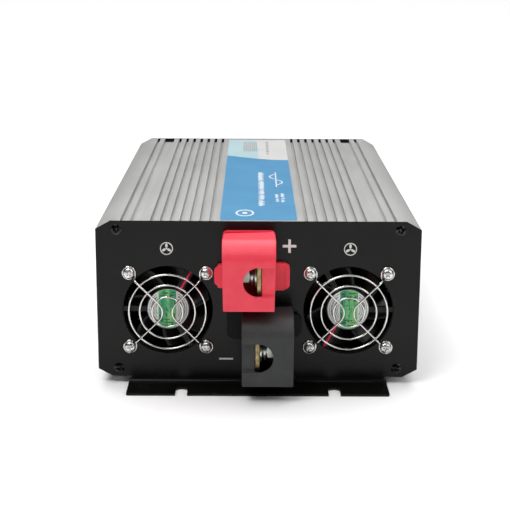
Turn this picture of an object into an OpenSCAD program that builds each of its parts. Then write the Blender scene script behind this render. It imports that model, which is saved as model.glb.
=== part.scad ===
// Power inverter: a ribbed aluminium case between two folded steel end plates.
// X runs across the front, +Y from the front to the rear, +Z up. The origin is on the floor,
// at the centre of the whole object's footprint.

/* [Case] */
// Width of the case and of its end plates
case_w = 210; // [205:1:225]
// Height of the case and of its end plates
case_h = 105; // [104:1:115]
// Length over the outer faces of both end plates
case_l = 339; // [335:1:380]
// Width of the bevel along each long edge
bevel_w = 9.6; // [9:0.1:10]
// Height of the bevel along each long edge
bevel_h = 5.3; // [4.8:0.1:5.6]
// Thickness of the case wall, ribs included
wall_t = 5.2; // [5:0.1:6]
// Depth of the grooves between the ribs
groove_d = 3; // [2:0.1:3.2]
// Width of a narrow groove
groove_w = 2.3; // [1.8:0.1:2.6]
// Distance from one narrow groove to the next
groove_pitch = 6.35; // [6:0.05:6.4]

/* [End plates] */
// Thickness of the end plates' steel sheet
sheet_t = 1.5; // [1.2:0.1:2]
// Height of the case above the surface it stands on
foot_drop = 4.8; // [4.2:0.1:6]
// How far each folded foot reaches out
foot_reach = 24; // [20:0.5:30]
// Width of each folded foot
foot_w = 170; // [150:1:180]
// Distance between the two notches in a foot
notch_gap = 99; // [80:1:120]
// Width of a notch
notch_w = 7.7; // [6:0.1:9]
// Length of a notch
notch_l = 12; // [9:0.5:15]

/* [Fans] */
// Side of each square fan
fan_size = 60; // [60:1:60]
// Depth of each fan
fan_depth = 25; // [24:0.5:28]
// Distance between a fan's neighbouring screws
fan_screw_gap = 50; // [50:0.5:50]
// Distance of each fan's axis from the middle of the case
fan_x = 58.8; // [57:0.1:62]
// Height of the fans' axes above the case's underside
fan_up = 45.8; // [44:0.1:56]
// Number of blades on each impeller
blade_count = 7; // [5:1:9]

/* [Terminals] */
// Width of a terminal cover
cover_w = 34; // [33:0.5:35]
// Height of a terminal cover
cover_h = 43.4; // [43:0.1:44]
// How far a terminal cover reaches in front of the end plate
cover_reach = 38; // [37:0.5:42]
// Wall thickness of a terminal cover
cover_wall = 2; // [1.8:0.1:2.2]
// Distance of each cover's middle from the middle of the case
cover_x = 6; // [5.5:0.1:6.5]
// Diameter of the cable window in a cover
window_d = 18.6; // [17:0.1:19]
// Diameter of the threaded terminal studs
stud_d = 8; // [8:1:8]

/* [Hidden] */

$fn = 64;
tiny = 0.01;

// Places along Y: the whole object is centred on the origin
front_y = -(case_l + foot_reach + cover_reach) / 2 + cover_reach;
rear_y = front_y + case_l;
case_z = foot_drop;
top_z = case_z + case_h;
mid_z = case_z + case_h / 2;
fan_z = case_z + fan_up;

// Case profile
narrow_grooves = 7;
narrow_groove_x = 30.6;
wide_groove_x = 78.5;
wide_groove_w = 8.4;
outer_groove_x = 88;
side_groove_count = 6;
side_band = 8;
port_x = 91.5;
port_inset = 5.8;
port_r = 3.4;
thread_r = 1.5;
cavity_x = case_w / 2 - wall_t;
floor_z = case_z + wall_t;
ceiling_z = top_z - wall_t;
joint_w = 1.6;
joint_d = 3;
joint_gap = 0.1;

// Inside
board_z = floor_z + 8;
board_t = 1.6;
board_w = 194;
board_y = 40;
board_l = 270;
board_top = board_z + board_t;
post_x = [-84, 84];
post_y = [52, 175, 298];

// Terminals
cover_z = [case_z + 56, case_z + 6.6];
window_x = 5.7;
window_z = -3;
window_flat = 8.1;
base_t = 4;
base_boss_w = 24;
base_boss_h = 34;
base_boss_d = 12;
ear_hole_x = [21.5, -19.6];
ear_up = [-8.2, 8.2];
plinth_t = 4;
cover_gap = 0.3;
bar_t = 2.5;
bar_h = 22;
bar_tip = -31;
bar_x = 5.2;
bar_bend = [50, 36];
bar_tail = [62, 46];
stud_y = -20;
stud_l = 15.5;
nut_t = 6.5;

// Rear panel
outlet_x = [-66, -20];
outlet_z = mid_z + 8;
outlet_w = 38;
outlet_h = 34;
switch_x = 34;
switch_z = mid_z + 8;
switch_w = 15;
switch_h = 21;
rocker_tilt = 9;
rocker_swing = 18;
rocker_pin_r = 1.2;
lamp_x = [56, 68];
earth_x = 84;
earth_z = mid_z - 26;

// ---- Helpers ----

// Extrudes an X-Z outline from y0 for a length along +Y
module along_y(y0, len) {
    translate([0, y0 + len, 0]) rotate([90, 0, 0]) linear_extrude(len) children();
}

// Extrudes a Y-Z outline from x0 for a length along +X
module along_x(x0, len) {
    translate([x0, 0, 0]) rotate([90, 0, 90]) linear_extrude(len) children();
}

// Draws its children with y = 0 on the front plate's outer face and +Y going inwards
module at_front() {
    translate([0, front_y, 0]) children();
}

// Draws its children with y = 0 on the rear plate's outer face and +Y going inwards
module at_rear() {
    translate([0, rear_y, 0]) mirror([0, 1, 0]) children();
}

// Cylinder along +Y starting at y0
module rod_y(r, y0, len, x = 0, z = 0) {
    translate([x, y0 + len, z]) rotate([90, 0, 0]) cylinder(r = r, h = len);
}

// Cylinder along +X starting at x0
module rod_x(r, x0, len, y = 0, z = 0) {
    translate([x0, y, z]) rotate([0, 90, 0]) cylinder(r = r, h = len);
}

// Rectangle with round corners, centred
module rounded(w, h, r) {
    square([w - 2 * r, h], center = true);
    square([w, h - 2 * r], center = true);
    for (x = [-1, 1], z = [-1, 1])
        translate([x * (w / 2 - r), z * (h / 2 - r)]) circle(r);
}

// Solid of revolution about Y: the outline's x is the radius and its y is depth along +Y
module turned_y(points, x = 0, y = 0, z = 0) {
    translate([x, y, z]) rotate([-90, 0, 0]) rotate_extrude() polygon(points);
}

// Cross recess cut into a screw head whose face looks towards -Y
module cross_recess(size, depth, x, z, y) {
    for (a = [45, 135])
        translate([x, y, z]) rotate([0, a, 0])
            cube([size, 2 * depth, size / 5], center = true);
}

// Round wire of radius r along a list of points, with a ball at each bend
module wire_path(path, r) {
    for (i = [0:len(path) - 2]) {
        v = path[i + 1] - path[i];
        translate(path[i]) rotate([0, acos(v[2] / norm(v)), atan2(v[1], v[0])])
            cylinder(r = r, h = norm(v), $fn = 24);
        if (i > 0) translate(path[i]) sphere(r + tiny, $fn = 24);
    }
}

// ---- Case ----

module octagon() {
    w = case_w / 2;
    polygon([[-w + bevel_w, case_z], [w - bevel_w, case_z], [w, case_z + bevel_h],
             [w, top_z - bevel_h], [w - bevel_w, top_z], [-w + bevel_w, top_z],
             [-w, top_z - bevel_h], [-w, case_z + bevel_h]]);
}

// Every groove of the outline, as rectangles that straddle the surface
module groove_cuts() {
    depth = 2 * groove_d;
    for (z = [case_z, top_z], s = [-1, 1]) {
        for (i = [0:narrow_grooves - 1])
            translate([s * (narrow_groove_x + i * groove_pitch), z])
                square([groove_w, depth], center = true);
        translate([s * wide_groove_x, z]) square([wide_groove_w, depth], center = true);
        translate([s * outer_groove_x, z]) square([groove_w, depth], center = true);
    }
    for (s = [-1, 1], up = [-1, 1], i = [0:side_groove_count - 1])
        translate([s * case_w / 2, mid_z + up * (side_band + i * groove_pitch)])
            square([depth, groove_w], center = true);
}

module screw_ports(r) {
    for (x = [-port_x, port_x], z = [case_z + port_inset, top_z - port_inset])
        translate([x, z]) circle(r);
}

module case_profile() {
    difference() {
        union() {
            difference() {
                octagon();
                translate([-cavity_x, floor_z]) square([2 * cavity_x, ceiling_z - floor_z]);
            }
            intersection() {
                octagon();
                screw_ports(port_r);
            }
        }
        groove_cuts();
        screw_ports(thread_r);
    }
}

// The tongue along each side of the upper shell, or its groove in the lower shell
module side_tongues(gap) {
    for (s = [-1, 1])
        translate([s * (cavity_x + wall_t / 2), mid_z - joint_d / 2 - gap / 2 + tiny])
            square([joint_w + 2 * gap, joint_d + gap + 2 * tiny], center = true);
}

module upper_case_shell() {
    color("silver") at_front() along_y(sheet_t, case_l - 2 * sheet_t) {
        intersection() {
            case_profile();
            translate([-case_w, mid_z]) square([2 * case_w, case_h]);
        }
        side_tongues(0);
    }
}

// Screw holes for the transistor clamps, through each side wall's inner face
clamp_y = [for (i = [0:3]) 100 + i * 60];
clamp_z = board_top + 17;
module clamp_holes() {
    for (y = clamp_y, s = [-1, 1])
        rod_x(thread_r, s > 0 ? cavity_x - 1 : -cavity_x - 1.9, 2.9, y, clamp_z);
}

module lower_case_shell() {
    color("silver") at_front() difference() {
        along_y(sheet_t, case_l - 2 * sheet_t) difference() {
            intersection() {
                case_profile();
                translate([-case_w, mid_z - case_h]) square([2 * case_w, case_h]);
            }
            side_tongues(joint_gap);
        }
        clamp_holes();
        for (x = post_x, y = post_y)
            translate([x, y, floor_z - 2]) cylinder(r = thread_r, h = 4);
    }
}

// ---- End plates ----

bend_r = 2.2;
relief = 1.5;

// Folded foot: its strip below the plate, the bend and the flat flange
module foot_section() {
    difference() {
        translate([-bend_r - tiny, 0]) square([bend_r + sheet_t + tiny, bend_r + sheet_t]);
        translate([-bend_r, bend_r + sheet_t]) circle(bend_r);
        difference() {
            translate([-bend_r, -tiny]) square(bend_r + sheet_t + 1);
            translate([-bend_r, bend_r + sheet_t]) circle(bend_r + sheet_t);
            translate([-bend_r - tiny, bend_r + sheet_t]) square(bend_r + sheet_t + 1);
        }
    }
    translate([0, bend_r + sheet_t - tiny])
        square([sheet_t, foot_drop - bend_r - sheet_t + 1]);
}

module foot_flange() {
    outer_r = 1.5;
    flange_l = foot_reach - bend_r;
    linear_extrude(sheet_t) difference() {
        translate([0, -bend_r - flange_l / 2]) {
            square([foot_w, flange_l - 2 * outer_r], center = true);
            translate([0, outer_r / 2]) square([foot_w, flange_l - outer_r], center = true);
            square([foot_w - 2 * outer_r, flange_l], center = true);
            for (s = [-1, 1])
                translate([s * (foot_w / 2 - outer_r), outer_r - flange_l / 2]) circle(outer_r);
        }
        for (s = [-1, 1]) translate([s * notch_gap / 2, -foot_reach]) {
            translate([-notch_w / 2, -1]) square([notch_w, notch_l - notch_w / 2 + 1]);
            translate([0, notch_l - notch_w / 2]) circle(notch_w / 2);
        }
    }
}

module plate_blank() {
    difference() {
        union() {
            along_y(0, sheet_t) octagon();
            along_x(-foot_w / 2, foot_w) foot_section();
            foot_flange();
        }
        for (s = [-1, 1]) translate([s * foot_w / 2, 0, case_z - relief / 2])
            cube([2 * relief, 4 * sheet_t, relief + 0.6], center = true);
        for (x = [-port_x, port_x], z = [case_z + port_inset, top_z - port_inset]) {
            rod_y(1.6, -1, sheet_t + 2, x, z);
            turned_y([[0, -tiny], [3.6 + tiny, -tiny], [1.65, 1.45], [0, 1.45]], x, 0, z);
        }
    }
}

module front_end_plate() {
    color("dimgray") at_front() difference() {
        plate_blank();
        for (s = [-1, 1]) {
            rod_y(29.7, -1, sheet_t + 2, s * fan_x, fan_z);
            for (x = [-1, 1], z = [-1, 1])
                rod_y(2.2, -1, sheet_t + 2, s * fan_x + x * fan_screw_gap / 2,
                      fan_z + z * fan_screw_gap / 2);
        }
        for (t = [0, 1]) terminal_place(t) {
            translate([0, sheet_t / 2, 0])
                cube([base_boss_w + 0.4, 3 * sheet_t, base_boss_h + 0.4], center = true);
            for (x = ear_hole_x) rod_y(1.6, -1, sheet_t + 2, x, ear_up[t]);
        }
    }
}

module rear_end_plate() {
    color("dimgray") at_rear() difference() {
        plate_blank();
        for (x = outlet_x)
            translate([x, 0, outlet_z]) cube([outlet_w - 6, 9, outlet_h - 6], center = true);
        translate([switch_x, 0, switch_z]) cube([switch_w - 1.8, 9, switch_h - 1.8], center = true);
        for (x = lamp_x) rod_y(2.6, -1, sheet_t + 2, x, switch_z);
        rod_y(2.6, -1, sheet_t + 2, earth_x, earth_z);
        // Air slots
        for (row = [0:4], x = [-66, -33, 0, 33])
            along_y(-1, sheet_t + 2) translate([x, case_z + 12 + row * 6]) rounded(26, 2.6, 1.25);
        for (row = [0:2], x = [-66, -33, 0, 33, 66])
            along_y(-1, sheet_t + 2) translate([x, top_z - 10 - row * 6]) rounded(26, 2.6, 1.25);
    }
}

module countersunk_screw(x, z) {
    difference() {
        turned_y([[0, -0.62], [1.2, -0.57], [2.4, -0.36], [3.5, 0], [1.5, 1.43], [1.5, 12], [0, 12]],
                 x, 0, z);
        cross_recess(4.2, 1.2, x, z, -0.6);
    }
}

module plate_screws() {
    for (x = [-port_x, port_x], z = [case_z + port_inset, top_z - port_inset])
        countersunk_screw(x, z);
}

module front_plate_screws() { color("darkslategray") at_front() plate_screws(); }
module rear_plate_screws() { color("darkslategray") at_rear() plate_screws(); }

label_w = 50;
label_l = 328;
label_t = 0.3;
module top_label() {
    color("steelblue") at_front() translate([0, 3 + label_l / 2, top_z])
        linear_extrude(label_t) rounded(label_w, label_l, 2);
}

// Plus and minus signs, and a small three-blade fan sign above each fan
mark_t = 0.12;
module fan_sign() {
    for (a = [90, 210, 330])
        rotate(a) translate([2, 0]) rounded(2.6, 1.5, 0.7);
    difference() { circle(4.2); circle(3.6); }
    circle(0.6);
}
module front_panel_marks() {
    color("white") at_front() along_y(-mark_t, mark_t) {
        translate([20, case_z + 88.9]) {
            square([8.8, 1.7], center = true);
            square([1.7, 8.8], center = true);
        }
        translate([-20.9, case_z + 12.35]) square([9, 1.2], center = true);
        for (s = [-1, 1]) translate([s * (fan_x + 0.5), case_z + 87]) fan_sign();
    }
}

// ---- Fans ----

fan_bore_r = 29.2;
hub_r = 14.5;
hub_t = 1.7;
fan_rear = sheet_t + fan_depth;
seat_r = 14;
seat_t = 3;
seat_y = sheet_t + 0.8;
seat_end = seat_y + seat_t;
sleeve_r = 3.5;
shaft_r = 1.5;
shaft_gap = 0.03;
wire_r = 0.65;
lead_r = 0.68;

// Draws its children about the axis of the left (-1) or right (1) fan; the left fan is the
// right one turned half round
module at_fan(s) {
    at_front() translate([s * fan_x, 0, fan_z]) rotate([0, s < 0 ? 180 : 0, 0]) children();
}

module fan_corners() {
    for (x = [-1, 1], z = [-1, 1])
        translate([x * fan_screw_gap / 2, z * fan_screw_gap / 2]) children();
}

// Strut from the motor seat to the bore's wall
module strut(w) {
    translate([seat_r - 1, seat_y + 0.1, -w / 2]) cube([fan_bore_r - seat_r + 1.6, 2.8, w]);
}

// Channel in the broad strut, and through the wall, in which the two leads lie
module lead_channel() {
    translate([seat_r + 0.05, 0, -1.5]) cube([30, seat_y + 1.7, 3]);
}

module fan_frame(s) {
    at_fan(s) {
        difference() {
            union() {
                for (y = [sheet_t, fan_rear - 4])
                    along_y(y, 4) rounded(fan_size, fan_size, 4);
                along_y(sheet_t, fan_depth) {
                    intersection() {
                        circle(fan_bore_r + 1.9);
                        square(fan_size, center = true);
                    }
                    fan_corners() circle(4);
                }
            }
            rod_y(fan_bore_r, sheet_t - 1, fan_depth + 2);
            along_y(sheet_t - 1, fan_depth + 2) fan_corners() circle(2.15);
            rotate([0, -240, 0]) lead_channel();
        }
        difference() {
            union() {
                rod_y(seat_r, seat_y, seat_t);
                rod_y(sleeve_r + 1, seat_end - 1, 14.5);
                for (a = [0, 120, 240]) rotate([0, -a, 0]) strut(a == 240 ? 5 : 3.4);
            }
            rod_y(sleeve_r, seat_end, 14);
            rotate([0, -240, 0]) lead_channel();
        }
    }
}

module fan_bearing(s) {
    at_fan(s) difference() {
        rod_y(sleeve_r, seat_end + 0.2, 12.5);
        rod_y(shaft_r + shaft_gap, seat_end - 1, 15);
    }
}

// Four wound poles round the sleeve
module fan_stator(s) {
    at_fan(s) difference() {
        rod_y(11, seat_end + 1, 9);
        rod_y(sleeve_r + 1, seat_end, 11);
        for (a = [45, 135]) rotate([0, a, 0])
            translate([0, seat_end + 5.5, 0]) difference() {
                cube([30, 12, 3], center = true);
                cube([12, 14, 4], center = true);
            }
    }
}

module fan_impeller(s) {
    at_fan(s) {
        difference() {
            rod_y(hub_r, seat_end + 0.5, fan_rear - seat_end - 1.5);
            rod_y(hub_r - hub_t, seat_end - 1, fan_rear - seat_end - 2);
        }
        intersection() {
            difference() {
                rod_y(fan_bore_r - 0.7, seat_end + 1, fan_rear - seat_end - 2.5);
                rod_y(hub_r - 0.4, sheet_t, fan_depth);
            }
            for (i = [0:blade_count - 1]) rotate([0, i * 360 / blade_count, 0])
                translate([0, (seat_end + fan_rear) / 2, 0]) rotate([48, 0, 0])
                    translate([hub_r - 1, -12, -0.6]) cube([16, 24, 1.2]);
        }
    }
}

module fan_shaft(s) {
    at_fan(s) rod_y(shaft_r, seat_end + 0.5, fan_rear - seat_end - 3.5);
}

module fan_label(s) {
    at_fan(s) rod_y(13.4, seat_y - 0.2, 0.2);
}

// Two leads in the channel of the strut that faces 240 degrees
module fan_leads(s) {
    for (k = [-1, 1]) at_fan(s) rotate([0, -240, 0])
        rod_x(lead_r, seat_r + 0.1, 19, seat_y + 0.9, k * 0.72);
}

// Three wire rings and two bent wires that cross them, with an eyelet round each screw
ring_r = [10, 18, 25];
ring_y = -5;
spoke_y = -6.05;
eyelet_r = 4;
knee_r = 7.7;
module fan_guard(s) {
    corner = fan_screw_gap / 2;
    outer = 21.2;
    foot = corner - (eyelet_r + 0.5) / sqrt(2);
    bend = knee_r / sqrt(2);
    knee_x = knee_r * (sqrt(2) - 1) + knee_r;
    at_fan(s) {
        for (r = ring_r) translate([0, ring_y, 0]) rotate([90, 0, 0])
            rotate_extrude() translate([r, 0]) circle(wire_r, $fn = 24);
        for (m = [0, 180]) rotate([0, m, 0]) {
            for (z = [-1, 1]) {
                knee = [knee_x - bend, spoke_y, z * bend];
                bend_at = [outer, spoke_y, z * outer];
                end = [foot, -wire_r, z * foot];
                down = end - bend_at;
                wire_path([knee, bend_at], wire_r);
                wire_path([bend_at + down * (wire_r + 0.06) / norm(down), end], wire_r);
                for (p = [knee, bend_at, end]) translate(p) sphere(wire_r + tiny, $fn = 24);
            }
            translate([knee_x, spoke_y, 0]) rotate([90, 0, 0]) rotate([0, 0, 135])
                rotate_extrude(angle = 90) translate([knee_r, 0]) circle(wire_r, $fn = 24);
            for (z = [-1, 1]) translate([corner, -wire_r, z * corner]) rotate([90, 0, 0])
                rotate([0, 0, z > 0 ? 170 : -110])
                    rotate_extrude(angle = 300) translate([eyelet_r, 0])
                        circle(wire_r, $fn = 24);
        }
    }
}

module left_fan_frame() { color("dimgray") fan_frame(-1); }
module left_fan_stator() { color("darkorange") fan_stator(-1); }
module left_fan_bearing() { color("goldenrod") fan_bearing(-1); }
module left_fan_impeller() { color("dimgray") fan_impeller(-1); }
module left_fan_shaft() { color("silver") fan_shaft(-1); }
module left_fan_label() { color("seagreen") fan_label(-1); }
module left_fan_leads() { color("red") fan_leads(-1); }
module left_fan_guard() { color("silver") fan_guard(-1); }
module right_fan_frame() { color("dimgray") fan_frame(1); }
module right_fan_stator() { color("darkorange") fan_stator(1); }
module right_fan_bearing() { color("goldenrod") fan_bearing(1); }
module right_fan_impeller() { color("dimgray") fan_impeller(1); }
module right_fan_shaft() { color("silver") fan_shaft(1); }
module right_fan_label() { color("seagreen") fan_label(1); }
module right_fan_leads() { color("red") fan_leads(1); }
module right_fan_guard() { color("silver") fan_guard(1); }

head_r = 3.75;
head_t = 2.5;
module pan_screw(x, z, len) {
    under = -2 * wire_r;
    dome = [for (a = [0:15:90])
        [head_r - 1.3 + 1.3 * cos(90 - a), under - head_t + 1.3 - 1.3 * sin(90 - a)]];
    difference() {
        turned_y(concat([[0, under - head_t]], dome,
            [[head_r, under], [1.95, under], [1.95, under + len], [0, under + len]]), x, 0, z);
        cross_recess(4.4, 1.3, x, z, under - head_t);
    }
}

module fan_screws() {
    color("gainsboro") for (s = [-1, 1]) at_fan(s)
        for (x = [-1, 1], z = [-1, 1])
            pan_screw(x * fan_screw_gap / 2, z * fan_screw_gap / 2, 32);
}

module fan_nuts() {
    color("gainsboro") for (s = [-1, 1]) at_fan(s) for (x = [-1, 1], z = [-1, 1])
        translate([x * fan_screw_gap / 2, fan_rear, z * fan_screw_gap / 2])
            rotate([-90, 0, 0]) difference() {
                cylinder(d = 8.08, h = 3.2, $fn = 6);
                translate([0, 0, -1]) cylinder(r = 2, h = 6);
            }
}

// ---- Terminals ----

// Draws its children about the middle of the positive (0) or negative (1) cover, with +X
// towards the cover's flat side and y = 0 on the end plate
module terminal_place(t) {
    translate([t == 0 ? -cover_x : cover_x, 0, cover_z[t] + cover_h / 2])
        mirror([t, 0, 0]) children();
}

module terminal_base(t) {
    at_front() terminal_place(t) difference() {
        union() {
            along_y(-base_t, base_t) {
                rounded(cover_w, cover_h, 3);
                translate([19.3, ear_up[t]]) rounded(8, 18.2, 1);
                translate([21.8, ear_up[t]]) rounded(9, 17, 3);
                translate([-17.5, ear_up[t]]) rounded(6, 15.5, 0.8);
                translate([-19.5, ear_up[t]]) rounded(6, 12.5, 0.8);
            }
            along_y(-base_t - plinth_t, plinth_t + 1)
                rounded(cover_w - 2 * cover_wall - 2 * cover_gap,
                        cover_h - 2 * cover_wall - 2 * cover_gap, 1.5);
            along_y(0, base_boss_d) rounded(base_boss_w, base_boss_h, 1);
        }
        translate([bar_x - 0.05, -20, window_z - bar_h / 2 - 0.05])
            cube([bar_t + 0.1, 60, bar_h + 0.1]);
        for (x = ear_hole_x) rod_y(1.25, -2.8, 4, x, ear_up[t]);
    }
}

// Brass bar through the base, with a tail that reaches down to the circuit board
module terminal_bar(t) {
    z0 = window_z - bar_h / 2;
    foot = board_top - cover_z[t] - cover_h / 2;
    at_front() terminal_place(t) difference() {
        along_x(bar_x, bar_t)
            polygon([[bar_tip, z0], [bar_bend[t], z0], [bar_bend[t], foot], [bar_tail[t], foot],
                     [bar_tail[t], z0 + bar_h], [bar_tip, z0 + bar_h]]);
        rod_x(stud_d / 2, bar_x - 1, bar_t + 2, stud_y, window_z);
    }
}

// Threaded stud pressed into the bar from its flat side
module terminal_stud(t) {
    at_front() terminal_place(t) {
        rod_x(stud_d / 2, bar_x - stud_l, stud_l + bar_t, stud_y, window_z);
        rod_x(6.4, bar_x + bar_t, 2, stud_y, window_z);
    }
}

module terminal_nut(t) {
    at_front() terminal_place(t)
        translate([bar_x - 4.6 - nut_t, stud_y, window_z]) rotate([0, 90, 0])
            difference() {
                cylinder(d = 15.01, h = nut_t, $fn = 6);
                translate([0, 0, -1]) cylinder(d = stud_d, h = nut_t + 2);
            }
}

// A plain washer and a spring washer between the nut and the bar
module terminal_washers(t) {
    at_front() terminal_place(t)
        for (w = [[0.1, 8, 1.6], [1.9, 6.8, 2.5]])
            difference() {
                rod_x(w[1], bar_x - w[0] - w[2], w[2], stud_y, window_z);
                rod_x(stud_d / 2 + 0.1, -30, 60, stud_y, window_z);
            }
}

// Side outline of a cover: square at the plate, with a large round at the upper front
round_r = 12;
module cover_side(inset) {
    y0 = -cover_reach + inset;
    z0 = -cover_h / 2 + inset;
    h = cover_h - 2 * inset;
    r = round_r - inset;
    mouth = inset > 0 ? 1 : 0;
    translate([y0, z0]) square([cover_reach - base_t - cover_gap - inset + mouth, h - r]);
    translate([y0 + r, z0 + h - r - 1])
        square([cover_reach - base_t - cover_gap - inset + mouth - r, r + 1]);
    translate([y0 + r, z0 + h - r]) circle(r);
}

module terminal_cover(t) {
    slot_d = 4;
    at_front() terminal_place(t) difference() {
        union() {
            difference() {
                intersection() {
                    along_x(-cover_w / 2, cover_w) cover_side(0);
                    along_y(-cover_reach - 1, cover_reach + 1) rounded(cover_w, cover_h, 3);
                }
                along_x(-cover_w / 2 + cover_wall, cover_w - 2 * cover_wall)
                    cover_side(cover_wall);
            }
            // Wall at the bottom of the recess beside the window
            translate([window_flat, -cover_reach + slot_d, window_z - window_d / 2 - 1.5])
                cube([cover_w / 2 - window_flat - 1, 1.5, window_d + 3]);
            for (z = [-1.5, window_d]) translate([window_flat, -cover_reach + 1,
                                                  window_z - window_d / 2 + z])
                cube([cover_w / 2 - window_flat - 1, slot_d, 1.5]);
        }
        intersection() {
            rod_y(window_d / 2, -cover_reach - 1, 6, window_x, window_z);
            translate([-cover_w, -cover_reach - 2, -cover_h]) cube([cover_w + window_flat + tiny,
                                                                   8, 2 * cover_h]);
        }
        translate([window_flat, -cover_reach - 1, window_z - window_d / 2])
            cube([cover_w, slot_d + 1, window_d]);
    }
}

module positive_terminal_base() { color("crimson") terminal_base(0); }
module positive_terminal_bar() { color("goldenrod") terminal_bar(0); }
module positive_terminal_stud() { color("silver") terminal_stud(0); }
module positive_terminal_nut() { color("silver") terminal_nut(0); }
module positive_terminal_washers() { color("silver") terminal_washers(0); }
module positive_terminal_cover() { color("crimson") terminal_cover(0); }
module negative_terminal_base() { color("dimgray") terminal_base(1); }
module negative_terminal_bar() { color("goldenrod") terminal_bar(1); }
module negative_terminal_stud() { color("silver") terminal_stud(1); }
module negative_terminal_nut() { color("silver") terminal_nut(1); }
module negative_terminal_washers() { color("silver") terminal_washers(1); }
module negative_terminal_cover() { color("dimgray") terminal_cover(1); }

// Screws that hold the bases from inside the end plate
module terminal_base_screws() {
    color("silver") at_front() for (t = [0, 1]) terminal_place(t)
        for (x = ear_hole_x) {
            rod_y(1.2, -2.6, sheet_t + 2.6, x, ear_up[t]);
            rod_y(2.6, sheet_t, 1.8, x, ear_up[t]);
        }
}

// ---- Inside ----

module main_circuit_board() {
    color("seagreen") at_front() difference() {
        translate([-board_w / 2, board_y, board_z]) cube([board_w, board_l, board_t]);
        for (x = post_x, y = post_y)
            translate([x, y, board_z - 1]) cylinder(r = 1.6, h = board_t + 2);
    }
}

module board_standoffs() {
    color("gold") at_front() for (x = post_x, y = post_y)
        translate([x, y, floor_z]) difference() {
            cylinder(d = 6.4, h = board_z - floor_z, $fn = 6);
            translate([0, 0, 4]) cylinder(r = 1.25, h = 10);
        }
}

module board_screws() {
    color("silver") at_front() for (x = post_x, y = post_y) {
        translate([x, y, board_top]) cylinder(r = 2.8, h = 2);
        translate([x, y, board_top - 5]) cylinder(r = 1.2, h = 5);
    }
}

module input_capacitors() {
    color("navy") at_front() for (x = [-3:3], row = [0, 1]) if (x != 0)
        translate([x * 18 + sign(x) * 3, 66 + row * 19, board_top])
            cylinder(r = 8, h = 31);
}

transformer_x = [-63, -21, 21, 63];
transformer_y = 128;
leg_w = 12;
module transformer_cores() {
    color("dimgray") at_front() for (x = transformer_x)
        translate([x, transformer_y, board_top + 23]) difference() {
            cube([38, 16, 42], center = true);
            for (s = [-1, 1]) translate([s * 10.5, 0, 0]) cube([9, 20, 30], center = true);
        }
}

module transformer_windings() {
    color("khaki") at_front() for (x = transformer_x)
        translate([x, transformer_y, board_top + 23]) difference() {
            linear_extrude(28, center = true) rounded(28, 34, 5);
            cube([leg_w, 16, 40], center = true);
            for (s = [-1, 1]) translate([s * 19, 0, 0]) cube([8, 16.2, 40], center = true);
        }
}

module output_capacitors() {
    color("navy") at_front() for (x = [-51, -17, 17, 51])
        translate([x, 188, board_top]) cylinder(r = 15, h = 48);
}

inductor_place = [-44, 248, board_top + 11];
module inductor_core() {
    color("gold") at_front() translate(inductor_place) rotate_extrude()
        translate([14, -7]) square([10, 14]);
}

module inductor_winding() {
    color("chocolate") at_front() translate(inductor_place) difference() {
        rotate_extrude() difference() {
            translate([11.5, -9.5]) square([15, 19]);
            translate([14, -7]) square([10, 14]);
        }
        cube([60, 4, 40], center = true);
    }
}

module control_board() {
    color("seagreen") at_front() {
        translate([0, 232, board_top]) cube([86, board_t, 46]);
        for (i = [0:2]) translate([12 + i * 26, 232 - 2.4, board_top + 16]) cube([14, 2.5, 10]);
    }
}

transistor_y = [for (i = [0:9]) 90 + i * 20];
module power_transistors() {
    color("dimgray") at_front() for (s = [-1, 1], y = transistor_y)
        translate([s * (cavity_x - 0.2 - 2.25), y, board_top + 14.5]) {
            cube([4.5, 10, 15], center = true);
            translate([s * 1.6, 0, 9]) cube([1.3, 10, 6], center = true);
            for (k = [-1:1]) translate([-s * 0.6, k * 2.54, -10.8])
                cube([0.7, 0.9, 7.4], center = true);
        }
}

// Steel bars that press the transistors on to the case walls
module transistor_clamps() {
    color("silver") at_front() for (s = [-1, 1]) difference() {
        translate([s * (cavity_x - 4.7 - 1.5), 185, clamp_z]) cube([3, 204, 9], center = true);
        for (y = clamp_y) rod_x(1.7, s * cavity_x - 12, 24, y, clamp_z);
    }
}

module clamp_screws() {
    color("silver") at_front() for (s = [-1, 1], y = clamp_y) {
        rod_x(1.45, s > 0 ? cavity_x - 7.7 : -cavity_x - 1.7, 9.4, y, clamp_z);
        rod_x(2.8, s > 0 ? cavity_x - 9.7 : -cavity_x + 7.7, 2, y, clamp_z);
    }
}

// ---- Rear panel ----

slot_x = 6.35;
blade_slot = [[-1, 8.1], [1, 6.5]];
module outlet_slots(grow) {
    for (b = blade_slot)
        translate([b[0] * slot_x, 4]) square([2 + grow, b[1] + grow], center = true);
}

// Two mains outlets, each with two blade slots and an earth hole
module mains_outlets() {
    color("dimgray") at_rear() for (x = outlet_x) translate([x, 0, outlet_z]) difference() {
        union() {
            along_y(-2.4, 2.4) rounded(outlet_w, outlet_h, 3);
            along_y(0, 22) rounded(outlet_w - 6.4, outlet_h - 6.4, 1.5);
        }
        along_y(-4, 8) outlet_slots(0);
        along_y(3, 16) outlet_slots(2);
        rod_y(2.5, -4, 8, 0, -7.5);
        rod_y(3.3, 3, 16, 0, -7.5);
    }
}

module outlet_contacts() {
    color("goldenrod") at_rear() for (x = outlet_x) translate([x, 0, outlet_z]) {
        along_y(4.5, 14) difference() {
            outlet_slots(1.8);
            outlet_slots(0);
        }
        difference() {
            rod_y(3.2, 4.5, 14, 0, -7.5);
            rod_y(2.5, 4, 15, 0, -7.5);
        }
    }
}

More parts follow.
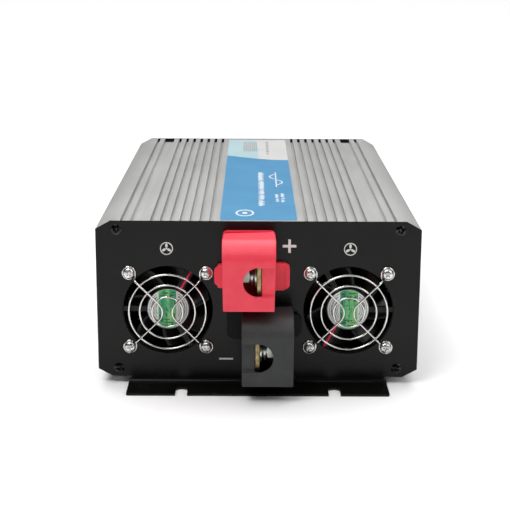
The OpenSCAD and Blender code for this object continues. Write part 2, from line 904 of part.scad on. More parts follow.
// Housing of the rocker switch, with side bores for the rocker's pins
module power_switch_body() {
    well_w = switch_w - 3.4;
    well_h = switch_h - 4;
    color("dimgray") at_rear() translate([switch_x, 0, switch_z]) difference() {
        union() {
            along_y(-2, 2) rounded(switch_w, switch_h, 1.2);
            along_y(0, 15) rounded(switch_w - 2, switch_h - 2, 0.8);
        }
        along_y(-3, 12) square([well_w, well_h], center = true);
        rod_x(rocker_pin_r + 0.05, -switch_w / 2 + 0.8, switch_w - 1.6, 2.5, 0);
    }
}

// Rocker: a shallow vee, tipped so that its upper half is pressed in
module power_switch_rocker() {
    half = (switch_h - 4) / 2 - 0.9;
    wide = switch_w - 3.4 - 0.7;
    color("dimgray") at_rear() translate([switch_x, 2.5, switch_z]) {
        along_x(-wide / 2, wide) rotate(-rocker_tilt)
            polygon([[-3.4, 0], [-4.9, half], [0, half - 0.6], [3, 2], [3, -2],
                     [0, -half + 0.6], [-4.9, -half]]);
        rod_x(rocker_pin_r, -wide / 2 - 0.9, wide + 1.8);
    }
}

module indicator_lights() {
    color("limegreen") at_rear() for (x = lamp_x) {
        turned_y([[0, -2.4], [1.4, -2], [2.3, -0.9], [2.5, 0], [2.5, 6], [0, 6]], x, 0, switch_z);
    }
}

module earth_screw() {
    color("goldenrod") at_rear() {
        rod_y(2.5, -8, 22, earth_x, earth_z);
        translate([earth_x, -5.2, earth_z]) rotate([-90, 0, 0]) difference() {
            cylinder(d = 9.24, h = 4, $fn = 6);
            translate([0, 0, -1]) cylinder(r = 2.5, h = 6);
        }
        difference() {
            rod_y(5.5, -1.1, 1, earth_x, earth_z);
            rod_y(2.5, -2, 3, earth_x, earth_z);
        }
    }
}

upper_case_shell();
lower_case_shell();
front_end_plate();
rear_end_plate();
front_plate_screws();
rear_plate_screws();
top_label();
front_panel_marks();
left_fan_frame();
left_fan_stator();
left_fan_bearing();
left_fan_impeller();
left_fan_shaft();
left_fan_label();
left_fan_leads();
left_fan_guard();
right_fan_frame();
right_fan_stator();
right_fan_bearing();
right_fan_impeller();
right_fan_shaft();
right_fan_label();
right_fan_leads();
right_fan_guard();
fan_screws();
fan_nuts();
positive_terminal_base();
positive_terminal_bar();
positive_terminal_stud();
positive_terminal_nut();
positive_terminal_washers();
positive_terminal_cover();
negative_terminal_base();
negative_terminal_bar();
negative_terminal_stud();
negative_terminal_nut();
negative_terminal_washers();
negative_terminal_cover();
terminal_base_screws();
main_circuit_board();
board_standoffs();
board_screws();
input_capacitors();
transformer_cores();
transformer_windings();
output_capacitors();
inductor_core();
inductor_winding();
control_board();
power_transistors();
transistor_clamps();
clamp_screws();
mains_outlets();
outlet_contacts();
power_switch_body();
power_switch_rocker();
indicator_lights();
earth_screw();
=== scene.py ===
"""Looks of the power inverter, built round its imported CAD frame.

Lengths are in millimetres until they reach Blender. The helpers turn them into metres.
Each fan and terminal is built about its own axis, with y = 0 on the front plate's outer
face and y growing into the case, and is then put in place.
"""
import math

import bmesh
import bpy
from mathutils import Matrix, Vector


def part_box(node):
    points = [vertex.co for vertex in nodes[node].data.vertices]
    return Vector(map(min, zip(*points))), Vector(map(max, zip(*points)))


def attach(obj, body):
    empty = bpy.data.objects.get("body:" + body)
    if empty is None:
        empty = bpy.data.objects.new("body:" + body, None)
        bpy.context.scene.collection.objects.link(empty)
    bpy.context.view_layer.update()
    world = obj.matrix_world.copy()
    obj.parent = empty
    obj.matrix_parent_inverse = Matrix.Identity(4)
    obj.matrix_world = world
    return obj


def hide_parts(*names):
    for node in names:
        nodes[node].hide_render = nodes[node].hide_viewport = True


MM = 0.001
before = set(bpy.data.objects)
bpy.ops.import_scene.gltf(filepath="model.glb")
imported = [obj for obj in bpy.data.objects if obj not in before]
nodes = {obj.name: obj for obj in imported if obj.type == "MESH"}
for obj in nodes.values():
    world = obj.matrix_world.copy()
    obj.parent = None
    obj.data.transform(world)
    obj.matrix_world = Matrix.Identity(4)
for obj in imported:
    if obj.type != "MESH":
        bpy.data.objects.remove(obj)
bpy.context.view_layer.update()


def box_mm(node):
    """Lowest and highest corner of a CAD node, in millimetres."""
    low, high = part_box(node)
    return Vector(low) / MM, Vector(high) / MM


SHEET_T = 1.5
CASE_LOW, CASE_HIGH = box_mm("upper_case_shell")
FRONT = CASE_LOW.y - SHEET_T
REAR = CASE_HIGH.y + SHEET_T
TOP = CASE_HIGH.z
CASE_UNDER = box_mm("lower_case_shell")[0].z
FAN_X, _, FAN_Z = sum(box_mm("right_fan_frame"), Vector()) / 2


# ---------------- camera and light

LENS = 88.41
CAMERA_PLACE = (-4.1, FRONT - 783.1, CASE_UNDER + 282.2)
YAW, PITCH, ROLL = (math.radians(a) for a in (0.138, 14.277, 0.282))


def turned(degrees, axis="Y"):
    return Matrix.Rotation(math.radians(degrees), 4, axis)


def aim(yaw, pitch, roll):
    """Rotation of a camera that looks along +Y, then yaws, pitches down and rolls."""
    ahead = Vector((math.sin(yaw) * math.cos(pitch), math.cos(yaw) * math.cos(pitch),
                    -math.sin(pitch)))
    right = Vector((math.cos(yaw), -math.sin(yaw), 0))
    up = right.cross(ahead)
    right, up = (math.cos(roll) * right + math.sin(roll) * up,
                 math.cos(roll) * up - math.sin(roll) * right)
    return Matrix((right, up, -ahead)).transposed()


def make_camera():
    data = bpy.data.cameras.new("camera")
    data.sensor_width = 36
    data.lens = LENS
    data.clip_start, data.clip_end = 0.05, 20
    camera = bpy.data.objects.new("camera", data)
    camera.matrix_world = (Matrix.Translation(Vector(CAMERA_PLACE) * MM)
                           @ aim(YAW, PITCH, ROLL).to_4x4())
    bpy.context.collection.objects.link(camera)
    bpy.context.scene.camera = camera


def area_light(name, place, size, power):
    """Rectangular lamp, in metres, that points at the middle of the object."""
    data = bpy.data.lights.new(name, "AREA")
    data.shape = "RECTANGLE"
    data.size, data.size_y = size
    data.energy = power
    light = bpy.data.objects.new(name, data)
    light.location = place
    light.rotation_mode = "QUATERNION"
    ahead = Vector((0, 0, 0.05)) - Vector(place)
    light.rotation_quaternion = ahead.to_track_quat("-Z", "Y")
    bpy.context.collection.objects.link(light)


def new_node(tree, kind, values=(), **settings):
    """A shader node with its settings, and with values for its inputs."""
    made = tree.nodes.new(kind)
    for key, value in settings.items():
        setattr(made, key, value)
    for key, value in dict(values).items():
        made.inputs[key].default_value = value
    return made


def make_sky():
    """Dim sky that brightens towards the rear, which the camera itself sees as white."""
    world = bpy.data.worlds.new("studio")
    world.use_nodes = True
    tree = world.node_tree
    link = tree.links.new
    dim = tree.nodes["Background"]
    coords = new_node(tree, "ShaderNodeTexCoord")
    split = new_node(tree, "ShaderNodeSeparateXYZ")
    ramp = new_node(tree, "ShaderNodeMapRange",
                    {"From Min": -0.75, "From Max": 0.1, "To Min": 0.22, "To Max": 0.92})
    ray = new_node(tree, "ShaderNodeLightPath")
    white = new_node(tree, "ShaderNodeBackground", {"Color": (1, 1, 1, 1)})
    mix = new_node(tree, "ShaderNodeMixShader")
    link(coords.outputs["Generated"], split.inputs["Vector"])
    link(split.outputs["Y"], ramp.inputs["Value"])
    link(ramp.outputs["Result"], dim.inputs["Strength"])
    link(ray.outputs["Is Camera Ray"], mix.inputs["Fac"])
    link(dim.outputs["Background"], mix.inputs[1])
    link(white.outputs["Background"], mix.inputs[2])
    link(mix.outputs["Shader"], tree.nodes["World Output"].inputs["Surface"])
    bpy.context.scene.world = world
    bpy.context.scene.view_settings.view_transform = "Standard"


def make_floor():
    """Pale floor. The lamps reach only its middle, so its far part gives a little light."""
    bpy.ops.mesh.primitive_plane_add(size=30)
    floor = bpy.context.object
    floor.name = "studio_floor"
    paint = bpy.data.materials.new("studio_floor")
    paint.use_nodes = True
    tree = paint.node_tree
    shader = tree.nodes["Principled BSDF"]
    shader.inputs["Base Color"].default_value = (0.93, 0.93, 0.93, 1)
    shader.inputs["Roughness"].default_value = 0.9
    shader.inputs["Emission Color"].default_value = (1, 1, 1, 1)
    spot = new_node(tree, "ShaderNodeTexCoord")
    reach = new_node(tree, "ShaderNodeVectorMath", operation="LENGTH")
    far = new_node(tree, "ShaderNodeMapRange", {"From Min": 0.9, "From Max": 2.3, "To Max": 0.95})
    tree.links.new(spot.outputs["Object"], reach.inputs[0])
    tree.links.new(reach.outputs["Value"], far.inputs["Value"])
    tree.links.new(far.outputs["Result"], shader.inputs["Emission Strength"])
    floor.data.materials.append(paint)


# ---------------- materials

look = {}


class Finish:
    """A Principled material with its noise, colour and bump nodes, kept in look."""

    def __init__(self, name, colour, rough, metal=0.0, **inputs):
        made = look[name] = bpy.data.materials.new(name)
        made.use_nodes = True
        self.tree = made.node_tree
        self.link = self.tree.links.new
        self.shader = self.tree.nodes["Principled BSDF"]
        self.shader.inputs["Base Color"].default_value = (*colour, 1)
        self.shader.inputs["Roughness"].default_value = rough
        self.shader.inputs["Metallic"].default_value = metal
        for key, value in inputs.items():
            self.shader.inputs[key.replace("_", " ")].default_value = value
        self.height = None

    def node(self, kind, values=(), **settings):
        return new_node(self.tree, kind, values, **settings)

    def place(self, stretch=(1, 1, 1)):
        """Object coordinates in millimetres, stretched: a small factor makes long marks."""
        coords = self.node("ShaderNodeTexCoord")
        mapping = self.node("ShaderNodeMapping", {"Scale": [s / MM for s in stretch]})
        self.link(coords.outputs["Object"], mapping.inputs["Vector"])
        return mapping.outputs["Vector"]

    def noise(self, size, detail=3, stretch=(1, 1, 1)):
        """Noise whose features are about size millimetres across."""
        made = self.node("ShaderNodeTexNoise",
                         {"Scale": 1 / size, "Detail": detail, "Roughness": 0.55})
        self.link(self.place(stretch), made.inputs["Vector"])
        return made.outputs["Fac"]

    def cells(self, size, feature="F1"):
        made = self.node("ShaderNodeTexVoronoi", {"Scale": 1 / size}, feature=feature)
        self.link(self.place(), made.inputs["Vector"])
        return made.outputs["Distance"]

    def waves(self, size, axis, distortion=0.0):
        """Bands of about size millimetres; the node's own waves are 0.314 units apart."""
        made = self.node("ShaderNodeTexWave", {"Scale": 0.314 / size, "Distortion": distortion},
                         wave_type="BANDS", bands_direction=axis)
        self.link(self.place(), made.inputs["Vector"])
        return made.outputs["Fac"]

    def ramp(self, factor, stops):
        made = self.node("ShaderNodeValToRGB")
        spots = made.color_ramp.elements
        while len(spots) < len(stops):
            spots.new(0.5)
        for spot, (where, colour) in zip(spots, stops):
            spot.position = where
            tone = colour if isinstance(colour, tuple) else (colour,) * 3
            spot.color = (*tone, 1)
        self.link(factor, made.inputs["Fac"])
        return made.outputs["Color"]

    def blend(self, factor, first, second):
        made = self.node("ShaderNodeMix", data_type="RGBA", blend_type="MIX")
        for socket, value in ((made.inputs[6], first), (made.inputs[7], second)):
            if isinstance(value, tuple):
                socket.default_value = (*value, 1)
            else:
                self.link(value, socket)
        if isinstance(factor, (int, float)):
            made.inputs[0].default_value = factor
        else:
            self.link(factor, made.inputs[0])
        return made.outputs[2]

    def colour(self, socket):
        self.link(socket, self.shader.inputs["Base Color"])

    def clouds(self, size, detail, low, high):
        """Two close colours in soft patches."""
        self.colour(self.ramp(self.noise(size, detail), ((0.3, low), (0.7, high))))

    def rough(self, factor, low, high):
        made = self.node("ShaderNodeMapRange", {"To Min": low, "To Max": high})
        self.link(factor, made.inputs["Value"])
        self.link(made.outputs["Result"], self.shader.inputs["Roughness"])

    def bump(self, factor, depth):
        """Raises the surface by up to depth millimetres; later calls stack."""
        made = self.node("ShaderNodeBump", {"Strength": 1.0, "Distance": depth * MM})
        self.link(factor, made.inputs["Height"])
        if self.height is not None:
            self.link(self.height, made.inputs["Normal"])
        self.height = made.outputs["Normal"]
        self.link(self.height, self.shader.inputs["Normal"])


def aluminium():
    """Extruded aluminium with fine streaks along the ribs and broad pale patches."""
    f = Finish("case_aluminium", (0.6, 0.6, 0.59), 0.42, metal=0.85)
    streaks = f.noise(0.5, 4, stretch=(1, 0.012, 1))
    patches = f.noise(28, 3, stretch=(1, 0.4, 1))
    tone = f.ramp(streaks, ((0.3, (0.54, 0.54, 0.53)), (0.7, (0.61, 0.61, 0.60))))
    tone = f.blend(0.18, tone, f.ramp(patches, ((0.35, 0.5), (0.65, 0.66))))
    f.colour(tone)
    f.rough(patches, 0.4, 0.48)
    f.bump(streaks, 0.012)
    f.bump(f.noise(0.18, 2), 0.006)


def black_sheet():
    """Glossy black powder coat with a fine orange peel and faint dust."""
    f = Finish("black_sheet", (0.004, 0.004, 0.0034), 0.3, Specular_IOR_Level=0.2)
    clouds = f.noise(22, 3)
    dust = f.ramp(f.noise(0.5, 2), ((0.62, 0.0), (0.75, 1.0)))
    tone = f.ramp(clouds, ((0.3, (0.0028, 0.0028, 0.0026)), (0.7, (0.0055, 0.0055, 0.005))))
    f.colour(f.blend(dust, tone, (0.008, 0.008, 0.0075)))
    f.rough(clouds, 0.22, 0.3)
    f.bump(f.noise(0.45, 3), 0.006)


def film(name, low, high):
    """Printed label film: flat and satin, with a faint cloud in its colour."""
    f = Finish(name, high, 0.3)
    f.clouds(30, 3, low, high)


def moulded(name, low, high, rough=(0.35, 0.5), grain=0.25, depth=0.015, **inputs):
    """Moulded plastic: a faint colour cloud, a fine grain and a slight gloss change."""
    f = Finish(name, high, rough[1], **inputs)
    f.clouds(9, 3, low, high)
    f.rough(f.noise(3, 2), *rough)
    f.bump(f.noise(grain, 2), depth)


def circuit_green(name):
    """Green film in upright streaks from teal to yellow, with a few dark blotches."""
    f = Finish(name, (0.05, 0.4, 0.1), 0.3)
    zones = f.ramp(f.noise(3.2, 2, stretch=(1, 1, 0.18)),
                   ((0.34, (0.02, 0.3, 0.15)), (0.5, (0.06, 0.46, 0.15)), (0.64, (0.26, 0.6, 0.2))))
    blots = f.ramp(f.noise(1.7, 2), ((0.58, 0.0), (0.64, 1.0)))
    f.colour(f.blend(blots, zones, (0.008, 0.17, 0.08)))
    f.rough(f.noise(3, 2), 0.22, 0.34)
    f.bump(f.noise(1.2, 2), 0.04)


def solder_mask(name):
    """Circuit board lacquer with raised tracks under it and small tinned pads."""
    f = Finish(name, (0.015, 0.15, 0.05), 0.3)
    tracks = f.ramp(f.cells(7, "DISTANCE_TO_EDGE"), ((0.02, 1.0), (0.06, 0.0)))
    lacquer = f.blend(tracks, (0.008, 0.11, 0.035), (0.02, 0.22, 0.07))
    pads = f.ramp(f.cells(5.1), ((0.12, 1.0), (0.15, 0.0)))
    f.colour(f.blend(pads, lacquer, (0.5, 0.5, 0.48)))
    f.rough(pads, 0.3, 0.22)
    f.bump(tracks, 0.03)
    f.bump(pads, 0.08)


def wound(name, low, high, pitch, depth):
    """Tape or wire wound round an upright axis: level bands with a slight gloss change."""
    f = Finish(name, high, 0.3)
    bands = f.waves(pitch, "Z", 0.4)
    f.colour(f.ramp(bands, ((0.1, low), (0.6, high))))
    f.rough(f.noise(4, 2), 0.22, 0.36)
    f.bump(bands, depth)
    f.bump(f.noise(0.6, 2), 0.01)


def bright_metal(name, low, high, rough=(0.12, 0.25), scratch=(1, 1, 1), depth=0.006):
    """Plated or turned metal with fine marks and a slight tarnish."""
    f = Finish(name, high, rough[1], metal=1.0)
    f.clouds(2.5, 4, low, high)
    f.rough(f.noise(1.1, 3), *rough)
    f.bump(f.noise(0.2, 3, stretch=scratch), depth)


def make_materials():
    aluminium()
    black_sheet()
    bright_metal("black_screw", (0.012,) * 3, (0.05,) * 3, (0.14, 0.24), depth=0.03)
    moulded("white_print", (0.55, 0.55, 0.52), (0.68, 0.68, 0.65))
    moulded("fan_plastic", (0.003,) * 3, (0.006,) * 3, (0.25, 0.4), Specular_IOR_Level=0.25)
    bright_metal("screw_steel", (0.5, 0.5, 0.49), (0.88, 0.88, 0.87), (0.18, 0.34), depth=0.06)
    bright_metal("copper_coil", (0.45, 0.16, 0.06), (0.7, 0.3, 0.14))
    bright_metal("bronze", (0.4, 0.26, 0.12), (0.55, 0.38, 0.2), (0.35, 0.5))
    bright_metal("chrome_wire", (0.58, 0.58, 0.56), (0.74, 0.74, 0.71))
    bright_metal("shaft_steel", (0.5,) * 3, (0.68,) * 3)
    moulded("red_wire", (0.68, 0.015, 0.05), (0.82, 0.025, 0.08))
    moulded("black_wire", (0.01,) * 3, (0.02,) * 3)
    moulded("red_cover", (0.74, 0.035, 0.065), (0.82, 0.05, 0.085), (0.38, 0.5),
            Subsurface_Weight=0.15, Subsurface_Radius=(0.004, 0.001, 0.001))
    moulded("black_cover", (0.032, 0.033, 0.033), (0.042, 0.043, 0.044), (0.5, 0.6),
            Specular_IOR_Level=0.3)
    moulded("red_base", (0.72, 0.025, 0.05), (0.82, 0.035, 0.07))
    moulded("black_base", (0.003,) * 3, (0.005,) * 3, (0.35, 0.5), Specular_IOR_Level=0.14)
    bright_metal("brass_bar", (0.13, 0.09, 0.04), (0.46, 0.37, 0.19), (0.25, 0.4),
                 scratch=(1, 0.05, 1))
    bright_metal("plated_steel", (0.6, 0.61, 0.56), (0.8, 0.81, 0.76), (0.3, 0.45))
    solder_mask("circuit_board")
    moulded("capacitor_sleeve", (0.01, 0.012, 0.04), (0.02, 0.025, 0.07), (0.15, 0.25))
    moulded("ferrite", (0.03,) * 3, (0.06,) * 3, (0.4, 0.6), 0.5, 0.05)
    wound("winding_tape", (0.5, 0.34, 0.04), (0.75, 0.55, 0.1), 5.5, 0.12)
    bright_metal("can_top", (0.6,) * 3, (0.75,) * 3, (0.25, 0.4))
    moulded("powder_core", (0.6, 0.5, 0.1), (0.75, 0.62, 0.18))
    moulded("transistor_resin", (0.012,) * 3, (0.025,) * 3, (0.4, 0.55))
    moulded("outlet_plastic", (0.012,) * 3, (0.02,) * 3, (0.3, 0.42))
    moulded("switch_plastic", (0.008,) * 3, (0.015,) * 3, (0.15, 0.25))
    moulded("fan_sticker", (0.74, 0.76, 0.75), (0.84, 0.85, 0.84), (0.2, 0.3))
    circuit_green("hub_band")
    moulded("hub_track", (0.004, 0.06, 0.015), (0.01, 0.1, 0.03), (0.25, 0.4))
    moulded("grey_print", (0.12,) * 3, (0.2,) * 3)
    film("label_pale", (0.6, 0.6, 0.59), (0.66, 0.66, 0.65))
    film("label_blue", (0.085, 0.275, 0.48), (0.105, 0.315, 0.53))
    film("label_cyan", (0.42, 0.58, 0.62), (0.47, 0.63, 0.66))
    film("label_white", (0.72, 0.76, 0.8), (0.8, 0.84, 0.87))
    film("label_grey", (0.36,) * 3, (0.44,) * 3)
    moulded("lamp_lens", (0.05, 0.5, 0.08), (0.1, 0.7, 0.15), (0.05, 0.12),
            Transmission_Weight=0.6)


# ---------------- mesh helpers

class Shape:
    """Vertices and faces gathered in millimetres."""

    def __init__(self, verts=(), faces=()):
        self.verts, self.faces = [], []
        self.add(verts, faces)

    def add(self, verts, faces):
        base = len(self.verts)
        self.verts += [Vector(v) for v in verts]
        self.faces += [tuple(i + base for i in face) for face in faces]

    def join(self, other, matrix=None):
        moved = [matrix @ v for v in other.verts] if matrix else other.verts
        flip = matrix is not None and matrix.determinant() < 0
        faces = [tuple(reversed(f)) for f in other.faces] if flip else other.faces
        self.add(moved, faces)
        return self


def add_piece(name, shape, tone, replaced=(), place=None, body="case", smooth=True,
              bevel=()):
    """Puts a shape in place as a mesh that rides on a body."""
    placed = Shape().join(shape, place)
    mesh = bpy.data.meshes.new(name)
    mesh.from_pydata([v * MM for v in placed.verts], [], placed.faces)
    mesh.validate()
    mesh.update()
    for face in mesh.polygons:
        face.use_smooth = smooth
    mesh.materials.append(look[tone])
    made = bpy.data.objects.new(name, mesh)
    bpy.context.collection.objects.link(made)
    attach(made, body)
    if replaced:
        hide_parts(*replaced)
    if bevel:
        bevel_edges(made, *bevel)


def ring_point(r, degrees):
    return r * math.cos(math.radians(degrees)), r * math.sin(math.radians(degrees))


def tube(points, radius, sides=14, closed=False):
    """Round tube along points, with domed ends when it is open."""
    points = [Vector(p) for p in points]
    count = len(points)
    rings = []
    normal = None
    for i, point in enumerate(points):
        after = (i + 1) % count if closed else min(i + 1, count - 1)
        ahead = (points[after] - points[i - 1 if closed else max(i - 1, 0)]).normalized()
        if normal is None:
            guide = Vector((0, 1, 0)) if abs(ahead.y) < 0.9 else Vector((1, 0, 0))
            normal = ahead.cross(guide).normalized()
        normal = (normal - ahead * normal.dot(ahead)).normalized()
        rings.append((point, ahead, normal, radius))
    if not closed:
        head, tail = ([(point + ahead * way * radius * d, ahead, side, radius * r)
                       for d, r in ((0.38, 0.92), (0.72, 0.7), (0.92, 0.38))]
                      for way, (point, ahead, side, _) in ((-1, rings[0]), (1, rings[-1])))
        rings = head[::-1] + rings + tail
    verts = []
    for point, ahead, side, r in rings:
        up = ahead.cross(side)
        for k in range(sides):
            a = 2 * math.pi * k / sides
            verts.append(point + r * (math.cos(a) * side + math.sin(a) * up))
    faces = []
    spans = len(rings) if closed else len(rings) - 1
    for i in range(spans):
        j = (i + 1) % len(rings)
        for k in range(sides):
            n = (k + 1) % sides
            faces.append((i * sides + k, i * sides + n, j * sides + n, j * sides + k))
    if not closed:
        faces.append(tuple(reversed(range(sides))))
        faces.append(tuple((len(rings) - 1) * sides + k for k in range(sides)))
    return Shape(verts, faces)


def lathe(profile, sides=48):
    """Solid of revolution about Y: profile is (radius, y) from axis to axis."""
    verts, rows, faces = [], [], []
    for r, y in profile:
        if r < 1e-6:
            rows.append([len(verts)])
            verts.append(Vector((0, y, 0)))
        else:
            rows.append(list(range(len(verts), len(verts) + sides)))
            for k in range(sides):
                a = 2 * math.pi * k / sides
                verts.append(Vector((r * math.cos(a), y, r * math.sin(a))))
    for low, high in zip(rows, rows[1:]):
        for k in range(sides):
            n = (k + 1) % sides
            ring = [low[k % len(low)], low[n % len(low)], high[n % len(high)],
                    high[k % len(high)]]
            face = tuple(dict.fromkeys(ring))
            if len(face) > 2:
                faces.append(face)
    return Shape(verts, faces)


def loft(verts, n):
    """Closed body from rows of n points, with a flat face on the first and the last row."""
    rows = len(verts) // n
    faces = [tuple(range(n)), tuple(reversed(range((rows - 1) * n, rows * n)))]
    for i in range(rows - 1):
        for k in range(n):
            q = (k + 1) % n
            faces.append((i * n + k, (i + 1) * n + k, (i + 1) * n + q, i * n + q))
    return Shape(verts, faces)


def slab(outline, y0, y1):
    """Prism of an X-Z outline between two depths."""
    return loft([(x, y, z) for y in (y0, y1) for x, z in outline], len(outline))


def arc(cx, cz, r, start, end, steps):
    """Points of an X-Z arc, degrees."""
    spots = [ring_point(r, start + (end - start) * i / steps) for i in range(steps + 1)]
    return [(cx + x, cz + z) for x, z in spots]


def round_rect(w, h, r, steps=6, cx=0, cz=0):
    points = []
    for sx, sz, start in ((1, 1, 0), (-1, 1, 90), (-1, -1, 180), (1, -1, 270)):
        points += arc(cx + sx * (w / 2 - r), cz + sz * (h / 2 - r), r, start, start + 90, steps)
    return points


def rect(x0, x1, z0, z1):
    return [(x0, z0), (x1, z0), (x1, z1), (x0, z1)]


def block(low, high):
    """Box between two corners."""
    xs, ys, zs = (sorted(pair) for pair in zip(low, high))
    return Shape([(x, y, z) for x in xs for y in ys for z in zs],
                 [(0, 1, 3, 2), (4, 6, 7, 5), (0, 4, 5, 1), (2, 3, 7, 6), (0, 2, 6, 4),
                  (1, 5, 7, 3)])


def temporary(shape):
    """A linked mesh object for a modifier, outside the model."""
    mesh = bpy.data.meshes.new("scratch")
    mesh.from_pydata(shape.verts, [], shape.faces)
    mesh.validate()
    clean = bmesh.new()
    clean.from_mesh(mesh)
    bmesh.ops.remove_doubles(clean, verts=clean.verts, dist=1e-4)
    bmesh.ops.recalc_face_normals(clean, faces=clean.faces)
    clean.to_mesh(mesh)
    clean.free()
    made = bpy.data.objects.new("scratch", mesh)
    bpy.context.collection.objects.link(made)
    return made


def evaluated(obj):
    """The shape of an object after its modifiers; the object is then removed."""
    graph = bpy.context.evaluated_depsgraph_get()
    mesh = bpy.data.meshes.new_from_object(obj.evaluated_get(graph))
    made = Shape([v.co.copy() for v in mesh.vertices], [tuple(p.vertices) for p in mesh.polygons])
    bpy.data.objects.remove(obj)
    bpy.data.meshes.remove(mesh)
    return made


def carve(shape, *cuts, joined=(), within=()):
    """Exact booleans in millimetres: joins shapes, keeps what is within others, then cuts."""
    base = temporary(shape)
    helpers = []
    for operation, group in (("UNION", joined), ("INTERSECT", within), ("DIFFERENCE", cuts)):
        for other in group:
            helper = temporary(other)
            helpers.append(helper)
            step = base.modifiers.new("step", "BOOLEAN")
            step.operation, step.object, step.solver = operation, helper, "EXACT"
    made = evaluated(base)
    for helper in helpers:
        bpy.data.objects.remove(helper)
    return made


def soften(shape, voxel, passes):
    """Remeshes a shape to an even skin and smooths it, which rounds every edge."""
    base = temporary(shape)
    skin = base.modifiers.new("skin", "REMESH")
    skin.mode, skin.voxel_size = "VOXEL", voxel
    calm = base.modifiers.new("calm", "SMOOTH")
    calm.factor, calm.iterations = 0.5, passes
    return evaluated(base)


def bevel_edges(obj, width, segments=2, angle=35):
    """Rounds the sharp edges of a CAD node or piece without touching its own vertices."""
    stored_normals = obj.data.attributes.get("custom_normal")
    if stored_normals:
        obj.data.attributes.remove(stored_normals)
    weld = obj.modifiers.new("weld", "WELD")
    weld.merge_threshold = 1e-6
    edge = obj.modifiers.new("edge", "BEVEL")
    edge.width, edge.segments = width * MM, segments
    edge.limit_method, edge.angle_limit = "ANGLE", math.radians(angle)
    edge.harden_normals = True
    edge.use_clamp_overlap = True
    for face in obj.data.polygons:
        face.use_smooth = True


def dress(node, tone, bevel):
    """Gives a CAD node its material and rounds its edges."""
    obj = nodes[node]
    if not obj.material_slots:
        obj.data.materials.append(look[tone])
    for place in obj.material_slots:
        place.material = look[tone]
    bevel_edges(obj, bevel)


# ---------------- fans

FAN_SCREW = 25
RINGS = (10, 18, 25)
WIRE = 0.65
RING_Y, SPOKE_Y = -5.0, -6.05
EYELET_R = 4.0
KNEE_R = 7.7
SEAT_Y = SHEET_T + 0.8
FAN_REAR = SHEET_T + 25
HUB_R = 14.5
BLADE_TIP = 27.9
BLADES = 7
STICKER_R = 13.4
BAND_LOW, BAND_HIGH = -5.3, 6.3
LEAD_ANGLE = -240


def fan_place(side):
    """Matrix of a fan: the left fan is the right one turned half round."""
    x, half_turn = (-FAN_X, 180) if side == "left" else (FAN_X, 0)
    return Matrix.Translation((x, FRONT, FAN_Z)) @ turned(half_turn)


def hook(sign):
    """Points of an eyelet round a screw and the leg that leaves it, ending at the knee."""
    screw = Vector((FAN_SCREW, 0, sign * FAN_SCREW))
    inward = Vector((-1, 0, -sign)).normalized()
    across = Vector((inward.z, 0, -inward.x)) * sign
    points = []
    for i in range(25):
        a = math.radians(338 - 12.2 * i)
        points.append(screw + EYELET_R * (math.cos(a) * inward + math.sin(a) * across)
                      + Vector((0, -WIRE, 0)))
    leave = [(4.35, 1.3, 0.0), (4.95, 0.5, 0.35), (5.3, 0.15, 1.6), (5.5, 0, 3.0),
             (5.8, 0, 4.4), (6.4, 0, 5.2), (7.4, 0, 5.4)]
    for reach, aside, lift in leave:
        points.append(screw + inward * reach + across * aside + Vector((0, -WIRE - lift, 0)))
    for reach in (12, 18, 24):
        points.append(screw + inward * reach + Vector((0, SPOKE_Y, 0)))
    return points


def smooth_path(points, step):
    """Catmull-Rom curve through points, sampled about every step millimetres."""
    out = []
    last = len(points) - 1
    for i in range(last):
        a, b = points[max(i - 1, 0)], points[i]
        c, d = points[i + 1], points[min(i + 2, last)]
        count = max(1, round((c - b).length / step))
        for k in range(count):
            t = k / count
            out.append(0.5 * ((2 * b) + (c - a) * t + (2 * a - 5 * b + 4 * c - d) * t * t
                              + (3 * b - a - 3 * c + d) * t ** 3))
    out.append(points[-1])
    return out


def make_guard(side):
    """Three wire rings and two bent wires that cross them and end round the screws."""
    guard = Shape()
    for r in RINGS:
        ring = [(x, RING_Y, z) for x, z in arc(0, 0, r, 0, 360, 96)[:-1]]
        guard.join(tube(ring, WIRE, closed=True))
    knee_x = KNEE_R * math.sqrt(2)
    knee = [Vector((knee_x - KNEE_R * math.cos(math.radians(a)), SPOKE_Y,
                    KNEE_R * math.sin(math.radians(a)))) for a in range(45, -46, -9)]
    wire = smooth_path(hook(1) + knee + hook(-1)[::-1], 0.7)
    for degrees in (0, 180):
        guard.join(tube(wire, WIRE), turned(degrees))
    add_piece(side + "_wire_guard", guard, "chrome_wire", [side + "_fan_guard"],
              fan_place(side))


def blade_skin(b, face, low, high, across, along):
    """Grid of points of one side of a blade: it twists, bows and thins towards its tip."""
    skin = []
    for i in range(across + 1):
        u = i / across
        r = HUB_R - 0.25 + (BLADE_TIP - HUB_R + 0.25) * u
        sweep_angle = 62 - 20 * u
        for j in range(along + 1):
            v = j / along
            camber = 7 * math.sin(math.pi * v)
            angle = 360 * b / BLADES + sweep_angle * (v - 0.5) + camber + 8 * u
            thick = (1.5 - 0.7 * u) * (0.35 + 0.65 * math.sin(math.pi * (0.08 + 0.84 * v)))
            a = math.radians(angle) + face * thick / 2 / r * 1.3
            y = low + (high - low) * v - face * thick * 0.35
            skin.append(Vector((r * math.cos(a), y, r * math.sin(a))))
    return skin


